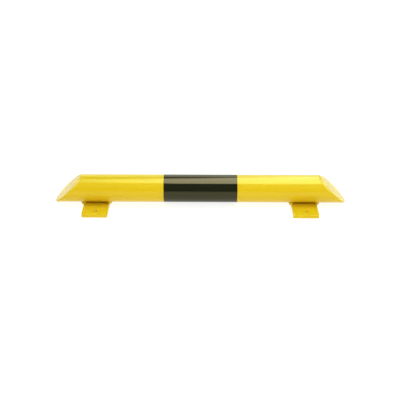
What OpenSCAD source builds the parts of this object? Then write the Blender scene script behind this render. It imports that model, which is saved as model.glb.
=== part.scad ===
// Low level protection barrier: a steel tube with mitred, plated ends, welded on two flat foot plates.
// X runs along the bar, -Y is the front and Z is up. The origin is on the floor under the bar's middle.

/* [Tube] */
// Length of the bar from tip to tip
bar_length = 800; // [600:10:1200]
// Outside diameter of the tube
tube_diameter = 76; // [60:1:90]
// Thickness of the tube's wall
tube_wall = 3; // [2.5:0.5:6]
// Slope of the cut ends above the floor
mitre_angle = 45; // [40:1:60]

/* [End plates] */
// Thickness of the plate that closes each end
end_plate_thickness = 3; // [2:0.5:6]
// Step from the tube's outside in to the plate's rim, which the weld fills
end_plate_step = 2; // [1:0.25:2.5]
// Radius that the welded edge is ground to
ground_edge_radius = 3; // [1:0.25:4]

/* [Foot plates] */
// Length of a foot plate, across the bar
foot_length = 160; // [140:5:200]
// Width of a foot plate, along the bar
foot_width = 70; // [50:5:100]
// Thickness of a foot plate
foot_thickness = 10; // [8:1:15]
// Distance from the bar's tip to the middle of the foot plate
foot_inset = 115; // [100:5:160]
// Radius of a foot plate's upright corners
foot_corner_radius = 3; // [2:0.5:8]
// Chamfer round the top of a foot plate
foot_chamfer = 0.8; // [0.2:0.1:1.5]
// Diameter of the bolt holes
bolt_hole_diameter = 14; // [8:0.5:18]
// Distance between the two bolt holes of a foot plate
bolt_hole_spacing = 120; // [112:1:124]

/* [Foot welds] */
// Leg of the fillet weld along each side of a foot plate
weld_leg = 7; // [4:0.5:9]
// Length of the fillet weld, across the bar
weld_length = 48; // [36:1:60]
// How far the weld laps in over the foot plate's top
weld_lap = 4.5; // [2:0.5:8]
// Width in the middle of that lap that the weld doesn't reach, where the tube touches the plate
weld_root_width = 8; // [6:1:16]

/* [Black band] */
// Width of the band of film round the middle of the tube
band_width = 200; // [60:5:300]
// Thickness of the film
band_film = 0.2; // [0.1:0.05:0.5]
// Thickness of the adhesive between the film and the tube
band_adhesive = 0.05; // [0.04:0.01:0.2]
// Lap of the film's end over its start, under the tube
band_lap = 12; // [5:1:30]

/* [Hidden] */
$fn = 96;
rim_facets = 180;
tube_radius = tube_diameter / 2;
axis_height = foot_thickness + tube_radius;

// The mitre moves each point along the bar by this much for each millimetre of height
mitre_run = 1 / tan(mitre_angle);

// Sizes along the tube's axis, where the tilted end plate measures more than its thickness
end_plate_axial = end_plate_thickness / sin(mitre_angle);
edge_radius = min(ground_edge_radius, 0.9 * end_plate_axial);

// Farthest that the ground edge reaches past the middle of the tube's cut face
tip_reach = mitre_run * (tube_radius - edge_radius) + (end_plate_axial - edge_radius)
    + edge_radius * sqrt(1 + mitre_run * mitre_run);
cut_middle = bar_length / 2 - tip_reach;

foot_middle = bar_length / 2 - foot_inset;

// The weld's face is part of a round bar whose axis lies inside and above the plate's top edge
weld_axis_shift = 2;
weld_radius = norm([weld_leg + weld_axis_shift, weld_axis_shift]);
weld_end_middle = weld_length / 2 - weld_radius;

lap_angle = band_lap / (PI * tube_diameter) * 360;

yellow = [0.93, 0.78, 0.13];
black = [0.08, 0.08, 0.08];
left = -1;
right = 1;

// A round bar along X at the tube's height
module axial_bar(radius, length) {
    translate([0, 0, axis_height])
        rotate([0, 90, 0])
            cylinder(r = radius, h = length, center = true);
}

// What lies between two slanted cuts, given by where each meets the tube's axis.
// Run is how far a cut moves along the bar for each millimetre of height.
module between_cuts(start, start_run, end, end_run) {
    half_height = tube_radius + 1;
    translate([0, 0, axis_height])
        rotate([90, 0, 0])
            linear_extrude(2 * half_height, center = true)
                polygon([
                    [start - half_height * start_run, -half_height],
                    [end - half_height * end_run, -half_height],
                    [end + half_height * end_run, half_height],
                    [start + half_height * start_run, half_height]
                ]);
}

module tube() {
    color(yellow)
        intersection() {
            difference() {
                axial_bar(tube_radius, bar_length);
                axial_bar(tube_radius - tube_wall, bar_length + 2);
            }
            between_cuts(-cut_middle, mitre_run, cut_middle, -mitre_run);
        }
}

// Round bar with the size of an end plate's rim
module rim_bar() {
    axial_bar(tube_radius - end_plate_step, bar_length + tube_diameter, $fn = rim_facets);
}

// Round end with its rim ground over, square to the tube's axis
module square_end() {
    flank = end_plate_axial - edge_radius;
    cylinder(r = tube_radius, h = flank);
    translate([0, 0, flank])
        rotate_extrude()
            translate([tube_radius - edge_radius, 0])
                intersection() {
                    circle(r = edge_radius, $fn = 24);
                    square(edge_radius);
                }
}

// The same end, tilted onto the tube's right-hand cut face by a shear along the bar
module ground_end() {
    hull()
        translate([cut_middle, 0, axis_height])
            multmatrix([
                [1, 0, -mitre_run, 0],
                [0, 1, 0, 0],
                [0, 0, 1, 0],
                [0, 0, 0, 1]
            ])
                rotate([0, 90, 0])
                    square_end($fn = rim_facets);
}

module end_plate(side) {
    color(yellow)
        mirror([side == left ? 1 : 0, 0, 0])
            intersection() {
                rim_bar();
                between_cuts(cut_middle, -mitre_run, cut_middle + end_plate_axial, -mitre_run);
            }
}

module end_weld(side) {
    color(yellow)
        mirror([side == left ? 1 : 0, 0, 0])
            difference() {
                ground_end();
                rim_bar();
            }
}

// Length of flat bar along Y with both upper edges chamfered
module chamfered_bar(width, length) {
    flank = foot_thickness - foot_chamfer;
    rotate([90, 0, 0])
        linear_extrude(length, center = true)
            polygon([
                [-width / 2, 0],
                [width / 2, 0],
                [width / 2, flank],
                [width / 2 - foot_chamfer, foot_thickness],
                [-width / 2 + foot_chamfer, foot_thickness],
                [-width / 2, flank]
            ]);
}

// Round corner of a foot plate, with the same chamfer
module chamfered_corner() {
    flank = foot_thickness - foot_chamfer;
    cylinder(r = foot_corner_radius, h = flank);
    translate([0, 0, flank])
        cylinder(r1 = foot_corner_radius, r2 = foot_corner_radius - foot_chamfer, h = foot_chamfer);
}

module foot_blank() {
    corner_x = foot_width / 2 - foot_corner_radius;
    corner_y = foot_length / 2 - foot_corner_radius;
    chamfered_bar(foot_width, 2 * corner_y);
    rotate([0, 0, 90])
        chamfered_bar(foot_length, 2 * corner_x);
    for (x = [-corner_x, corner_x], y = [-corner_y, corner_y])
        translate([x, y, 0])
            chamfered_corner();
}

module foot_plate(side) {
    color(yellow)
        translate([side * foot_middle, 0, 0])
            difference() {
                foot_blank();
                for (y = [-bolt_hole_spacing / 2, bolt_hole_spacing / 2])
                    translate([0, y, -1])
                        cylinder(d = bolt_hole_diameter, h = foot_thickness + 2);
            }
}

// Round-ended run of weld metal along Y, at the top edge of a foot plate's right side
module weld_run() {
    translate([-weld_axis_shift, 0, weld_axis_shift])
        rotate([90, 0, 0]) {
            cylinder(r = weld_radius, h = 2 * weld_end_middle, center = true);
            for (z = [-weld_end_middle, weld_end_middle])
                translate([0, 0, z])
                    sphere(r = weld_radius);
        }
}

// Fillet weld in the corner between the tube's underside and one side of a foot plate.
// Edge is -1 for the plate's left side and 1 for its right side.
module foot_weld(side, edge) {
    color(yellow)
        difference() {
            translate([side * foot_middle + edge * foot_width / 2, 0, foot_thickness])
                mirror([edge == left ? 1 : 0, 0, 0])
                    intersection() {
                        weld_run();
                        translate([-weld_lap, -weld_length, -foot_thickness])
                            cube([weld_lap + 2 * weld_leg, 2 * weld_length, foot_thickness + tube_radius]);
                    }
            axial_bar(tube_radius, bar_length);
            translate([side * foot_middle, 0, 0])
                foot_blank();
            translate([side * foot_middle - foot_width / 2, -weld_root_width / 2, 0])
                cube([foot_width, weld_root_width, foot_thickness + 1]);
        }
}

// One layer of film round the tube's middle, from straight below the axis towards the back
module film_layer(radius, angle) {
    translate([0, 0, axis_height])
        rotate([0, 90, 0])
            rotate_extrude(angle = angle)
                translate([radius, -band_width / 2])
                    square([band_film, band_width]);
}

// Film wrapped once round the tube, with its end lapped over its start underneath
module black_band() {
    color(black) {
        film_layer(tube_radius + band_adhesive, 360);
        film_layer(tube_radius + band_adhesive + band_film, lap_angle);
    }
}

tube();
end_plate(left);  // end_plate_left
end_plate(right);  // end_plate_right
end_weld(left);  // end_weld_left
end_weld(right);  // end_weld_right
foot_plate(left);  // foot_plate_left
foot_plate(right);  // foot_plate_right
foot_weld(left, left);  // foot_weld_left_outer
foot_weld(left, right);  // foot_weld_left_inner
foot_weld(right, left);  // foot_weld_right_inner
foot_weld(right, right);  // foot_weld_right_outer
black_band();
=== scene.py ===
"""A low level protection barrier, fresh from the powder coater, on a white studio floor.

X runs along the bar, -Y is the front and Z is up. All lengths are in metres.
"""
import math

import bmesh
import bpy
from mathutils import Matrix, Vector


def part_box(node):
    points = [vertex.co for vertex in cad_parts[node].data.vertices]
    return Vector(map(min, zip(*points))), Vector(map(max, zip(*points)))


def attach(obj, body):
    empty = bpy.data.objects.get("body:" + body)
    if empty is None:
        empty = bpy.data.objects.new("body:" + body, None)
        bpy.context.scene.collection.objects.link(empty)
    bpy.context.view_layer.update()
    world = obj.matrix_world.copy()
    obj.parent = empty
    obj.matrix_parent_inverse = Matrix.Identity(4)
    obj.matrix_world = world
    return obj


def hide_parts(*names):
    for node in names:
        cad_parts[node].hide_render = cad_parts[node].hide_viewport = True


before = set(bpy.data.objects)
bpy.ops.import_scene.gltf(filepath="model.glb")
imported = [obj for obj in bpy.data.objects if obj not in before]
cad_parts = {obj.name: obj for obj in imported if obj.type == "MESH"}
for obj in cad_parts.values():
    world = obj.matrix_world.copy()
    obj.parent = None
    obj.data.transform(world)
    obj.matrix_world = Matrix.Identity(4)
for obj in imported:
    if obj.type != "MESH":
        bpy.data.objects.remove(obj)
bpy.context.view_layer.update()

MM = 0.001
LEFT, RIGHT = -1, 1

# The bar's own sizes, read from the frame
tube_low, tube_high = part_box("tube")
plate_low, plate_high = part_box("foot_plate_right")
band_low, band_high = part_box("black_band")
TUBE_RADIUS = (tube_high.z - tube_low.z) / 2
TUBE_LENGTH = tube_high.x - tube_low.x
AXIS_HEIGHT = (tube_high.z + tube_low.z) / 2
CUT_MIDDLE = tube_high.x - TUBE_RADIUS
FOOT_MIDDLE = (plate_high.x + plate_low.x) / 2
FOOT_WIDTH = plate_high.x - plate_low.x
FOOT_LENGTH = plate_high.y - plate_low.y
FOOT_THICKNESS = plate_high.z
BAND_WIDTH = band_high.x - band_low.x

# Sizes that a maker's drawing gives
TUBE_WALL = 3 * MM
END_PLATE = 3 * MM
END_PLATE_STEP = 2 * MM
WELD_CHAMFER = 2.8 * MM
HOLE_RADIUS = 7 * MM
HOLE_FROM_AXIS = 60 * MM
CORNER_RADIUS = 3 * MM
BROKEN_EDGE = 0.8 * MM
BAND_FILM = 0.2 * MM
BAND_ADHESIVE = 0.05 * MM
BAND_LAP = 12 * MM

# The ends are cut at 45 degrees, so a plate is this much thicker along the bar than across its face
MITRE = math.radians(45)
END_PLATE_AXIAL = END_PLATE / math.sin(MITRE)

# How finely round forms are cut, what counts as on a cut, and the largest turn that shades smooth
TUBE_SIDES = 192
HOLE_SIDES = 64
ON_CUT = 0.02 * MM
SMOOTH_UNDER = math.radians(32)

# The point that every lamp looks at
LIT_POINT = Vector((0, 0, 0.05))


def select_only(*pieces):
    bpy.ops.object.select_all(action="DESELECT")
    for piece in pieces:
        piece.select_set(True)
    bpy.context.view_layer.objects.active = pieces[0]


def finish_primitive(name):
    """Names the primitive just added and moves its place and turn into its mesh."""
    piece = bpy.context.object
    piece.name = name
    piece.data.name = name
    select_only(piece)
    bpy.ops.object.transform_apply(location=True, rotation=True, scale=True)
    return piece


def copy_of(piece, name):
    """Copy of a piece, with a mesh of its own."""
    new = piece.copy()
    new.data = piece.data.copy()
    new.name = name
    new.data.name = name
    bpy.context.scene.collection.objects.link(new)
    return new


def drop(piece):
    bpy.data.objects.remove(piece, do_unlink=True)


def apply_modifier(piece, kind, **settings):
    modifier = piece.modifiers.new(kind.title(), kind)
    for name, value in settings.items():
        setattr(modifier, name, value)
    select_only(piece)
    bpy.ops.object.modifier_apply(modifier=modifier.name)


def edit(piece, mode):
    """Opens a piece in edit mode with nothing selected. Mode is VERT, EDGE or FACE."""
    select_only(piece)
    bpy.ops.object.mode_set(mode="EDIT")
    bpy.ops.mesh.select_mode(type=mode)
    bpy.ops.mesh.select_all(action="DESELECT")


def pick(piece, kind, wanted):
    """Selects the edges or faces of the piece in edit mode for which wanted is true."""
    shape = bmesh.from_edit_mesh(piece.data)
    for part in getattr(shape, kind):
        part.select_set(wanted(part))
    bmesh.update_edit_mesh(piece.data)


def leave_edit():
    bpy.ops.object.mode_set(mode="OBJECT")


def middle(part):
    return sum((v.co for v in part.verts), Vector()) / len(part.verts)


def mitre_normal(side):
    return Vector((side * math.sin(MITRE), 0, math.cos(MITRE)))


def past_cut(place, side):
    """How far along the bar's axis a point lies past the mitre cut of one end."""
    return side * place.x - CUT_MIDDLE + (place.z - AXIS_HEIGHT)


def mitre_cut(side, past, keep_inner, close=True):
    """Cuts the whole mesh in edit mode by a mitre plane that meets the axis at a distance past the cut."""
    bpy.ops.mesh.select_all(action="SELECT")
    bpy.ops.mesh.bisect(
        plane_co=(side * (CUT_MIDDLE + past), 0, AXIS_HEIGHT),
        plane_no=mitre_normal(side),
        use_fill=close,
        clear_outer=keep_inner,
        clear_inner=not keep_inner,
    )


def lies_on_cut(edge, side, past):
    return all(abs(past_cut(v.co, side) - past) < ON_CUT for v in edge.verts)


def lies_outside(edge):
    """Whether an edge lies at the tube's outside, and not round a bore."""
    place = middle(edge)
    return math.hypot(place.y, place.z - AXIS_HEIGHT) > TUBE_RADIUS - MM


def round_bar(name, radius, length, x=0.0, ends="NGON"):
    bpy.ops.mesh.primitive_cylinder_add(
        vertices=TUBE_SIDES,
        radius=radius,
        depth=length,
        end_fill_type=ends,
        location=(x, 0, AXIS_HEIGHT),
        rotation=(0, math.pi / 2, 0),
    )
    return finish_primitive(name)


def block(name, place, size):
    bpy.ops.mesh.primitive_cube_add(size=1, location=place, scale=size)
    return finish_primitive(name)


def make_tube():
    """Steel tube with its real wall, cut to 45 degrees at both ends and chamfered for the seam weld."""
    sawn_off = 2 * MM
    tube = round_bar("mitred_tube", TUBE_RADIUS, TUBE_LENGTH + sawn_off, ends="NOTHING")
    apply_modifier(tube, "SOLIDIFY", thickness=TUBE_WALL, offset=-1)
    edit(tube, "EDGE")
    for side in (LEFT, RIGHT):
        mitre_cut(side, 0, keep_inner=True, close=False)
        pick(tube, "edges", lambda e: lies_on_cut(e, side, 0))
        bpy.ops.mesh.bridge_edge_loops()
        pick(tube, "edges", lambda e: lies_on_cut(e, side, 0) and lies_outside(e))
        bpy.ops.mesh.bevel(offset=WELD_CHAMFER, segments=1, affect="EDGES")
    leave_edit()
    return tube


def end_slab(name, side, radius, start, end):
    """Slice of a round bar between two mitre planes. The bar is long enough for both to cross it."""
    length = 6 * TUBE_RADIUS
    slab = round_bar(name, radius, length, x=side * CUT_MIDDLE)
    edit(slab, "FACE")
    mitre_cut(side, start, keep_inner=False)
    mitre_cut(side, end, keep_inner=True)
    leave_edit()
    return slab


def make_end_plate(side, name):
    """Elliptical plate that closes the tube, with its rim chamfered for the seam weld."""
    plate = end_slab(name, side, TUBE_RADIUS - END_PLATE_STEP, 0, END_PLATE_AXIAL)
    edit(plate, "EDGE")
    pick(plate, "edges", lambda e: lies_on_cut(e, side, END_PLATE_AXIAL))
    bpy.ops.mesh.bevel(offset=WELD_CHAMFER, segments=1, affect="EDGES")
    leave_edit()
    return plate


def make_end_weld(side, name):
    """Seam weld round the closed end, ground by hand to a soft, slightly uneven edge."""
    proud = 0.2 * MM
    back = -4.6 * MM
    front = END_PLATE_AXIAL + proud / math.sin(MITRE)
    rim_width = 7.5 * MM
    ground_edge = 5.5 * MM
    weld = end_slab(name, side, TUBE_RADIUS + proud, back, front)

    # A hole through the slab leaves a ring
    facing = mitre_normal(side)
    nearly_square = 0.99
    edit(weld, "FACE")
    pick(weld, "faces", lambda f: abs(f.normal.dot(facing)) > nearly_square)
    bpy.ops.mesh.inset(thickness=rim_width, use_even_offset=True)
    bpy.ops.mesh.bridge_edge_loops()
    bpy.ops.mesh.select_mode(type="EDGE")
    pick(weld, "edges", lambda e: lies_on_cut(e, side, front) and lies_outside(e))
    bpy.ops.mesh.bevel(offset=ground_edge, offset_type="OFFSET", segments=12, profile=0.5, affect="EDGES")
    leave_edit()

    # The grinder leaves shallow waves, about 0.1 mm high
    wave_length = 13 * MM
    wave_strength = 0.35 * MM
    waves = bpy.data.textures.new("grinding_waves", "CLOUDS")
    waves.noise_scale = wave_length
    apply_modifier(weld, "DISPLACE", texture=waves, strength=wave_strength, mid_level=0.5)
    return weld


def make_foot_plate(side, name):
    """Length of flat bar with rounded corners, two drilled holes and its edges broken before coating."""
    sharp_over = math.radians(50)
    plate = block(
        name,
        (side * FOOT_MIDDLE, 0, FOOT_THICKNESS / 2),
        (FOOT_WIDTH, FOOT_LENGTH, FOOT_THICKNESS),
    )

    # The four upright edges are the corners
    edit(plate, "EDGE")
    pick(plate, "edges", lambda e: abs(e.verts[0].co.z - e.verts[1].co.z) > MM)
    bpy.ops.mesh.bevel(offset=CORNER_RADIUS, segments=6, profile=0.5, affect="EDGES")
    leave_edit()
    for y in (-HOLE_FROM_AXIS, HOLE_FROM_AXIS):
        bpy.ops.mesh.primitive_cylinder_add(
            vertices=HOLE_SIDES,
            radius=HOLE_RADIUS,
            depth=3 * FOOT_THICKNESS,
            location=(side * FOOT_MIDDLE, y, 0),
        )
        drill = finish_primitive("drill")
        apply_modifier(plate, "BOOLEAN", operation="DIFFERENCE", object=drill, solver="EXACT")
        drop(drill)
    apply_modifier(
        plate,
        "BEVEL",
        width=BROKEN_EDGE,
        segments=3,
        limit_method="ANGLE",
        angle_limit=sharp_over,
    )
    return plate


def make_weld_run():
    """Fillet weld at the right side of the right foot plate, laid in overlapping ripples."""
    pitch = 2.6 * MM
    reach = 20 * MM
    radius = 6.7 * MM
    end_taper = 0.3
    flatness = 0.42
    lean = math.radians(24)
    outward, upward = 0.6 * MM, 2 * MM
    root_x = FOOT_MIDDLE + FOOT_WIDTH / 2 + outward
    root_z = FOOT_THICKNESS + upward
    count = 2 * round(reach / pitch) + 1
    ripples = []
    for i in range(count):
        along = (i - (count - 1) / 2) * pitch
        taper = 1 - end_taper * abs(along / reach) ** 6

        # No two ripples of a hand-laid weld are the same size
        wander = 1 + 0.03 * math.sin(2.3 * i) + 0.02 * math.sin(5.1 * i + 1)
        bpy.ops.mesh.primitive_uv_sphere_add(
            segments=40,
            ring_count=20,
            radius=radius * taper * wander,
            location=(root_x, along, root_z),
            scale=(1, flatness, 1),
            rotation=(lean, 0, 0),
        )
        ripples.append(finish_primitive("ripple"))

    # One skin over all the ripples, with the valleys between them softened
    skin_mesh = 0.45 * MM
    select_only(*ripples)
    bpy.ops.object.join()
    run = bpy.context.object
    run.name = "weld_run"
    apply_modifier(run, "REMESH", mode="VOXEL", voxel_size=skin_mesh)
    apply_modifier(run, "SMOOTH", factor=0.5, iterations=2)

    # The run is fused a little into the tube and the plate that it joins
    fused = 0.3 * MM
    core_length = 0.2
    merge_under = 0.02 * MM
    tube = round_bar("tube_core", TUBE_RADIUS - fused, core_length, x=FOOT_MIDDLE)
    plate = block(
        "plate_core",
        (FOOT_MIDDLE, 0, 0),
        (FOOT_WIDTH - 2 * fused, FOOT_LENGTH, 2 * (FOOT_THICKNESS - fused)),
    )
    for core in (plate, tube):
        apply_modifier(run, "BOOLEAN", operation="DIFFERENCE", object=core, solver="EXACT")
        drop(core)
    edit(run, "VERT")
    bpy.ops.mesh.select_all(action="SELECT")
    bpy.ops.mesh.remove_doubles(threshold=merge_under)
    leave_edit()
    return run


def place_weld_run(run, side, edge, name):
    """Copy of the run at one side of a foot plate. Edge is which side of the plate, left or right."""
    weld = copy_of(run, name)
    select_only(weld)
    bpy.ops.transform.translate(value=(-FOOT_MIDDLE, 0, 0))
    if edge == LEFT:
        bpy.ops.transform.rotate(value=math.pi, orient_axis="Z", center_override=(0, 0, 0))
    bpy.ops.transform.translate(value=(side * FOOT_MIDDLE, 0, 0))
    bpy.ops.object.transform_apply(location=True, rotation=True, scale=True)
    return weld


def make_band():
    """Film wrapped round the middle, with its end lapped over its start at the back of the underside."""
    first = round_bar("black_film", TUBE_RADIUS + BAND_ADHESIVE, BAND_WIDTH, ends="NOTHING")
    lap = round_bar("film_lap", TUBE_RADIUS + BAND_ADHESIVE + BAND_FILM, BAND_WIDTH, ends="NOTHING")
    lap_angle = BAND_LAP / TUBE_RADIUS

    def beside_lap(face):
        place = middle(face)
        return not 0 < math.atan2(place.y, AXIS_HEIGHT - place.z) < lap_angle

    edit(lap, "FACE")
    pick(lap, "faces", beside_lap)
    bpy.ops.mesh.delete(type="FACE")
    leave_edit()
    for sheet in (first, lap):
        apply_modifier(sheet, "SOLIDIFY", thickness=BAND_FILM, offset=1)
    select_only(first, lap)
    bpy.ops.object.join()
    return first


def smooth(piece):
    """Smooth shading, weighted so that long straight faces keep their own normals beside a bevel."""
    select_only(piece)
    bpy.ops.object.shade_smooth_by_angle(angle=SMOOTH_UNDER)
    apply_modifier(piece, "WEIGHTED_NORMAL", keep_sharp=True, weight=100)


def linear(hex_colour):
    """Linear RGBA of an sRGB colour written as six hex digits."""
    parts = [int(hex_colour[i:i + 2], 16) / 255 for i in (0, 2, 4)]
    return [p / 12.92 if p <= 0.04045 else ((p + 0.055) / 1.055) ** 2.4 for p in parts] + [1.0]


def node(tree, kind, settings=None, **inputs):
    """Adds a node, sets its properties, and sets or links its inputs by name.

    An input given by its number is written _0, _1 and so on.
    """
    new = tree.nodes.new(kind)
    for name, value in (settings or {}).items():
        setattr(new, name, value)
    for name, value in inputs.items():
        socket = new.inputs[int(name[1:])] if name[0] == "_" else new.inputs[name.replace("_", " ")]
        if isinstance(value, bpy.types.NodeSocket):
            tree.links.new(value, socket)
        else:
            socket.default_value = value
    return new


def new_material(name):
    made = bpy.data.materials.new(name)
    made.use_nodes = True
    made.node_tree.nodes.clear()
    return made, made.node_tree


def yellow_powder_coat(name="polyester_powder_coat_traffic_yellow"):
    """Polyester powder, sprayed and baked.

    It gives a full glossy yellow with a fine orange peel and faint clouds of tone.
    """
    made, tree = new_material(name)
    place = node(tree, "ShaderNodeTexCoord").outputs["Object"]
    clouds = node(tree, "ShaderNodeTexNoise", Vector=place, Scale=1 / (70 * MM), Detail=2.0)
    tone = node(
        tree,
        "ShaderNodeMix",
        {"data_type": "RGBA"},
        _0=clouds.outputs["Fac"],
        _6=linear("DAB318"),
        _7=linear("DDB71C"),
    )

    # Real orange peel has waves of 1 to 3 mm; the second set is drawn at 9 mm so that the gloss shows it
    fine = node(tree, "ShaderNodeTexNoise", Vector=place, Scale=1 / (2.2 * MM), Detail=1.0)
    coarse = node(tree, "ShaderNodeTexNoise", Vector=place, Scale=1 / (9 * MM), Detail=1.0)
    peel = node(tree, "ShaderNodeBump", Height=fine.outputs["Fac"], Strength=0.35, Distance=0.05 * MM)
    peel = node(
        tree,
        "ShaderNodeBump",
        Height=coarse.outputs["Fac"],
        Strength=0.3,
        Distance=0.12 * MM,
        Normal=peel.outputs["Normal"],
    )
    gloss = node(
        tree, "ShaderNodeMapRange", Value=clouds.outputs["Fac"], To_Min=0.15, To_Max=0.2
    )
    shader = node(
        tree,
        "ShaderNodeBsdfPrincipled",
        Base_Color=tone.outputs[2],
        Roughness=gloss.outputs["Result"],
        IOR=1.5,
        Specular_Tint=linear("D8FFB4"),
        Normal=peel.outputs["Normal"],
    )
    node(tree, "ShaderNodeOutputMaterial", Surface=shader.outputs["BSDF"])
    return made


def black_pvc_film(name="calendered_pvc_film_black"):
    """Self-adhesive PVC film, calendered.

    It gives a glossy near-black, with the coat's peel showing through softly.
    """
    made, tree = new_material(name)
    place = node(tree, "ShaderNodeTexCoord").outputs["Object"]
    clouds = node(tree, "ShaderNodeTexNoise", Vector=place, Scale=1 / (60 * MM), Detail=2.0)
    tone = node(
        tree,
        "ShaderNodeMix",
        {"data_type": "RGBA"},
        _0=clouds.outputs["Fac"],
        _6=linear("1A1B12"),
        _7=linear("1D1E14"),
    )
    through = node(tree, "ShaderNodeTexNoise", Vector=place, Scale=1 / (6 * MM), Detail=1.0)
    peel = node(tree, "ShaderNodeBump", Height=through.outputs["Fac"], Strength=0.25, Distance=0.08 * MM)
    gloss = node(
        tree, "ShaderNodeMapRange", Value=clouds.outputs["Fac"], To_Min=0.1, To_Max=0.14
    )
    shader = node(
        tree,
        "ShaderNodeBsdfPrincipled",
        Base_Color=tone.outputs[2],
        Roughness=gloss.outputs["Result"],
        IOR=1.48,
        Specular_Tint=linear("FFF2BC"),
        Normal=peel.outputs["Normal"],
    )
    node(tree, "ShaderNodeOutputMaterial", Surface=shader.outputs["BSDF"])
    return made


def dress(piece, material, slot, *nodes):
    """Gives a piece its finish and its place in the object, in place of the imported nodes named."""
    smooth(piece)
    piece.data.materials.clear()
    piece.data.materials.append(material)
    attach(piece, "root")
    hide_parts(*nodes)


def opal_acrylic(name="opal_acrylic_lit_from_below"):
    """Opal acrylic sheet, cast and matted, lit from below: an even white that takes only a faint shadow."""
    light_from_below = 0.82
    made, tree = new_material(name)
    place = node(tree, "ShaderNodeTexCoord").outputs["Object"]
    matting = node(tree, "ShaderNodeTexNoise", Vector=place, Scale=1 / (4 * MM), Detail=1.0)
    bump = node(tree, "ShaderNodeBump", Height=matting.outputs["Fac"], Strength=0.1, Distance=0.1 * MM)
    shader = node(
        tree,
        "ShaderNodeBsdfPrincipled",
        Base_Color=linear("949492"),
        Roughness=0.9,
        IOR=1.49,
        Normal=bump.outputs["Normal"],
        Emission_Color=linear("FFFFFF"),
        Emission_Strength=light_from_below,
    )
    node(tree, "ShaderNodeOutputMaterial", Surface=shader.outputs["BSDF"])
    return made


def make_floor():
    """Light table, a tenth of a millimetre under the foot plates so that no two faces coincide."""
    across = 30
    gap = 0.1 * MM
    bpy.ops.object.select_all(action="DESELECT")
    bpy.ops.mesh.primitive_plane_add(size=across, location=(0, 0, -gap))
    floor = finish_primitive("light_table")
    floor.data.materials.append(opal_acrylic())


def make_wall():
    """Pale round wall near the floor's edge, so that a picture from any side has a plain backdrop."""
    radius = 14
    height = 12
    below_floor = 0.1
    bpy.ops.object.select_all(action="DESELECT")
    bpy.ops.mesh.primitive_cylinder_add(
        vertices=96,
        radius=radius,
        depth=height,
        end_fill_type="NOTHING",
        location=(0, 0, height / 2 - below_floor),
    )
    wall = finish_primitive("studio_wall")

    # Matt paint under even light shows as one pale tone
    made, tree = new_material("matt_wall_paint_evenly_lit")
    glow = node(tree, "ShaderNodeEmission", Color=linear("FCFCFB"), Strength=1.0)
    node(tree, "ShaderNodeOutputMaterial", Surface=glow.outputs["Emission"])
    made.cycles.emission_sampling = "NONE"
    wall.data.materials.append(made)

    # The bar is lit and mirrored by the lamps and the room, never by this wall
    wall.visible_diffuse = False
    wall.visible_glossy = False
    wall.visible_shadow = False


def softbox_cloth(name, gain, right_share, middle_tone, end_tone):
    """White cloth lit from behind: dim at its left tip, fading to the rear, and toned at both ends.

    Gain scales its brightness, and right_share is how bright its right end is beside its middle.
    """
    tip_x, full_x = -0.85, -0.15
    at_tip, at_full = 1.43, 4.95
    right_start, right_end = 0.05, 0.45
    fade_start, fade_end, faded = 0.65, 1.2, 0.2
    tail_start, tail_end = 1.3, 1.9
    tone_start, tone_end = 0.15, 0.35

    made, tree = new_material(name)
    place = node(tree, "ShaderNodeTexCoord").outputs["Object"]
    across = node(tree, "ShaderNodeSeparateXYZ", Vector=place)
    x, y = across.outputs["X"], across.outputs["Y"]
    along_bar = node(
        tree,
        "ShaderNodeMapRange",
        Value=x,
        From_Min=tip_x,
        From_Max=full_x,
        To_Min=at_tip * gain,
        To_Max=at_full * gain,
    )
    rightward = node(
        tree,
        "ShaderNodeMapRange",
        Value=x,
        From_Min=right_start,
        From_Max=right_end,
        To_Min=1.0,
        To_Max=right_share,
    )

    # The rear fades sooner on the left
    right_half = node(tree, "ShaderNodeMath", {"operation": "MAXIMUM"}, _0=x, _1=0.0)
    lean = node(tree, "ShaderNodeMath", {"operation": "ADD"}, _0=x, _1=right_half.outputs["Value"])
    rearward = node(tree, "ShaderNodeMath", {"operation": "SUBTRACT"}, _0=y, _1=lean.outputs["Value"])
    fade = node(
        tree,
        "ShaderNodeMapRange",
        Value=rearward.outputs["Value"],
        From_Min=fade_start,
        From_Max=fade_end,
        To_Min=1.0,
        To_Max=faded,
    )
    tail = node(
        tree,
        "ShaderNodeMapRange",
        Value=rearward.outputs["Value"],
        From_Min=tail_start,
        From_Max=tail_end,
        To_Min=1.0,
        To_Max=0.0,
    )
    rear = node(
        tree,
        "ShaderNodeMath",
        {"operation": "MULTIPLY"},
        _0=fade.outputs["Result"],
        _1=tail.outputs["Result"],
    )
    front = node(
        tree,
        "ShaderNodeMath",
        {"operation": "MULTIPLY"},
        _0=along_bar.outputs["Result"],
        _1=rightward.outputs["Result"],
    )
    strength = node(
        tree,
        "ShaderNodeMath",
        {"operation": "MULTIPLY"},
        _0=front.outputs["Value"],
        _1=rear.outputs["Value"],
    )

    # Both ends turn from the middle's tone to their own
    from_middle = node(tree, "ShaderNodeMath", {"operation": "ABSOLUTE"}, _0=x)
    toned = node(
        tree,
        "ShaderNodeMapRange",
        Value=from_middle.outputs["Value"],
        From_Min=tone_start,
        From_Max=tone_end,
    )
    tone = node(
        tree,
        "ShaderNodeMix",
        {"data_type": "RGBA"},
        _0=toned.outputs["Result"],
        _6=linear(middle_tone),
        _7=linear(end_tone),
    )
    glow = node(tree, "ShaderNodeEmission", Color=tone.outputs[2], Strength=strength.outputs["Value"])
    node(tree, "ShaderNodeOutputMaterial", Surface=glow.outputs["Emission"])
    return made


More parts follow.
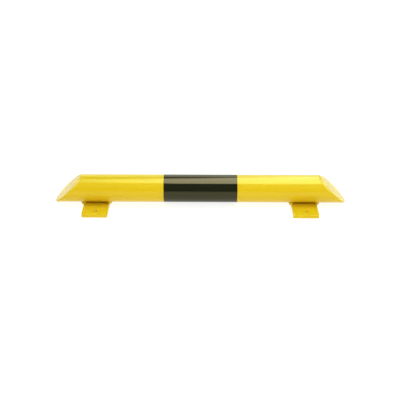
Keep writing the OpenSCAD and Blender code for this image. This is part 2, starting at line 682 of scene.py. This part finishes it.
def make_overhead_softbox():
    """Large softbox over the bar, narrowing to its left tip, and a copy that shows only in the gloss."""
    height = 2.0
    front, back = -0.87, 3.0
    left, middle_left, right = -0.95, -0.1, 0.85
    tip_share, tip_middle = 0.31, 0.11
    bpy.ops.object.select_all(action="DESELECT")
    bpy.ops.mesh.primitive_plane_add(
        size=1,
        location=((middle_left + right) / 2, (front + back) / 2, height),
        rotation=(math.pi, 0, 0),
    )
    bpy.ops.transform.resize(value=(right - middle_left, back - front, 1))
    box = finish_primitive("overhead_softbox")
    edit(box, "EDGE")
    pick(box, "edges", lambda e: middle(e).x < middle_left + MM)
    bpy.ops.mesh.extrude_region_move(TRANSFORM_OT_translate={"value": (left - middle_left, 0, 0)})
    bpy.ops.transform.resize(value=(1, tip_share, 1), center_override=(0, tip_middle, height))
    leave_edit()

    shine = copy_of(box, "overhead_softbox_shine")
    cloth = softbox_cloth(
        "softbox_cloth", gain=0.66, right_share=0.85, middle_tone="E0FFE2", end_tone="DCFFE0"
    )
    box.data.materials.append(cloth)
    box.visible_glossy = False
    cloth_in_gloss = softbox_cloth(
        "softbox_cloth_in_gloss", gain=1.35, right_share=1.08, middle_tone="FFFCF6", end_tone="EEFFEC"
    )
    shine.data.materials.append(cloth_in_gloss)
    shine.visible_diffuse = False
    for panel in (box, shine):
        panel.visible_shadow = False


def make_lamp(name, place, size, radiance, colour):
    """Soft rectangular lamp that looks at the bar. Radiance is the brightness of its face."""
    light = bpy.data.lights.new(name, "AREA")
    light.shape = "RECTANGLE"
    light.size, light.size_y = size
    light.energy = math.pi * radiance * size[0] * size[1]
    light.color = linear(colour)[:3]
    lamp = bpy.data.objects.new(name, light)
    lamp.location = place
    lamp.rotation_euler = (LIT_POINT - Vector(place)).to_track_quat("-Z", "Y").to_euler()
    bpy.context.scene.collection.objects.link(lamp)
    return lamp


def light_studio():
    """Overhead softbox, front lamps, fills that leave no reflection, and lamps for the gloss alone."""
    make_overhead_softbox()
    for name, place, size, radiance, colour in (
        ("front_lamp_left", (-1.75, -2.25, 1.7), (1.6, 1.4), 0.5, "FFE8D0"),
        ("front_lamp_right", (1.75, -2.25, 1.7), (1.6, 1.4), 3.2, "ECFFE4"),
    ):
        make_lamp(name, place, size, radiance, colour)

    # Fills over the bar and in front of it, which light the colour alone
    for name, place, size, radiance, colour in (
        ("high_fill", (0, -1.75, 1.9), (2.6, 0.7), 4.4, "FFF4E4"),
        ("top_fill_left", (-0.6, -0.3, 2.2), (1.2, 0.7), 3.4, "F4FFEC"),
        ("top_fill_right", (0.6, -0.3, 2.2), (1.2, 0.7), 3.8, "ECFFE6"),
    ):
        fill = make_lamp(name, place, size, radiance, colour)
        fill.visible_glossy = False

    # The ground seams mirror the edge lamps, and the top of the tube mirrors the strip as a thin line
    for name, place, size, radiance, colour in (
        ("edge_lamp_left", (-1.55, 0.05, 1.45), (2.4, 1.0), 5.5, "FFF6E4"),
        ("edge_lamp_right", (1.55, 0.05, 1.45), (2.4, 1.0), 5.5, "FFFAE4"),
        ("rear_strip", (0, 2.4, 1.72), (3.0, 0.75), 2.1, "FFF2CE"),
    ):
        shine = make_lamp(name, place, size, radiance, colour)
        shine.visible_diffuse = False


def light_room():
    """White room round the studio, dim behind the camera and dark overhead."""
    dim_y, bright_y = -0.8, -0.1
    dim, bright = 0.05, 1.05
    low_z, high_z = 0.58, 0.74
    overhead = 0.06

    world = bpy.data.worlds.new("studio_room")
    bpy.context.scene.world = world
    world.use_nodes = True
    tree = world.node_tree
    tree.nodes.clear()
    direction = node(tree, "ShaderNodeTexCoord").outputs["Generated"]
    parts = node(tree, "ShaderNodeSeparateXYZ", Vector=direction)
    away = node(
        tree,
        "ShaderNodeMapRange",
        {"interpolation_type": "SMOOTHSTEP"},
        Value=parts.outputs["Y"],
        From_Min=dim_y,
        From_Max=bright_y,
        To_Min=dim,
        To_Max=bright,
    )
    low = node(
        tree,
        "ShaderNodeMapRange",
        {"interpolation_type": "SMOOTHSTEP"},
        Value=parts.outputs["Z"],
        From_Min=low_z,
        From_Max=high_z,
        To_Min=1.0,
        To_Max=overhead,
    )
    brightness = node(
        tree,
        "ShaderNodeMath",
        {"operation": "MULTIPLY"},
        _0=away.outputs["Result"],
        _1=low.outputs["Result"],
    )
    room = node(
        tree, "ShaderNodeBackground", Color=linear("FBFFF7"), Strength=brightness.outputs["Value"]
    )
    node(tree, "ShaderNodeOutputWorld", Surface=room.outputs["Background"])


def place_camera():
    """Camera in front of the bar and above it, level but for a quarter of a degree, with a 71 mm lens."""
    aim = Vector((-1.08 * MM, 0, 11.17 * MM))
    distance = 2.1892
    elevation = math.radians(29.06)
    roll = math.radians(0.226)
    data = bpy.data.cameras.new("studio_camera")
    data.sensor_width = 36.0
    data.lens = 71.11
    camera = bpy.data.objects.new("studio_camera", data)
    back = Vector((0, -math.cos(elevation), math.sin(elevation)))
    level = (-back).to_track_quat("-Z", "Y").to_matrix().to_4x4()
    camera.matrix_world = Matrix.Translation(aim + distance * back) @ level @ Matrix.Rotation(roll, 4, "Z")
    bpy.context.scene.collection.objects.link(camera)
    bpy.context.scene.camera = camera


# The studio
place_camera()
light_studio()
light_room()
make_floor()
make_wall()
bpy.context.scene.view_settings.view_transform = "Standard"

# The bar's pieces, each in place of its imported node
coat = yellow_powder_coat()
film = black_pvc_film()
COAT_SLOT = "yellow_powder_coat"

dress(make_tube(), coat, COAT_SLOT, "tube")
run = make_weld_run()
for side, word in ((LEFT, "left"), (RIGHT, "right")):
    dress(make_end_plate(side, f"end_plate_face_{word}"), coat, COAT_SLOT, f"end_plate_{word}")
    dress(make_end_weld(side, f"ground_seam_{word}"), coat, COAT_SLOT, f"end_weld_{word}")
    dress(make_foot_plate(side, f"drilled_foot_{word}"), coat, COAT_SLOT, f"foot_plate_{word}")
    for edge in (LEFT, RIGHT):
        where = "outer" if edge == side else "inner"
        weld = place_weld_run(run, side, edge, f"fillet_{word}_{where}")
        dress(weld, coat, COAT_SLOT, f"foot_weld_{word}_{where}")
drop(run)
dress(make_band(), film, "black_film", "black_band")
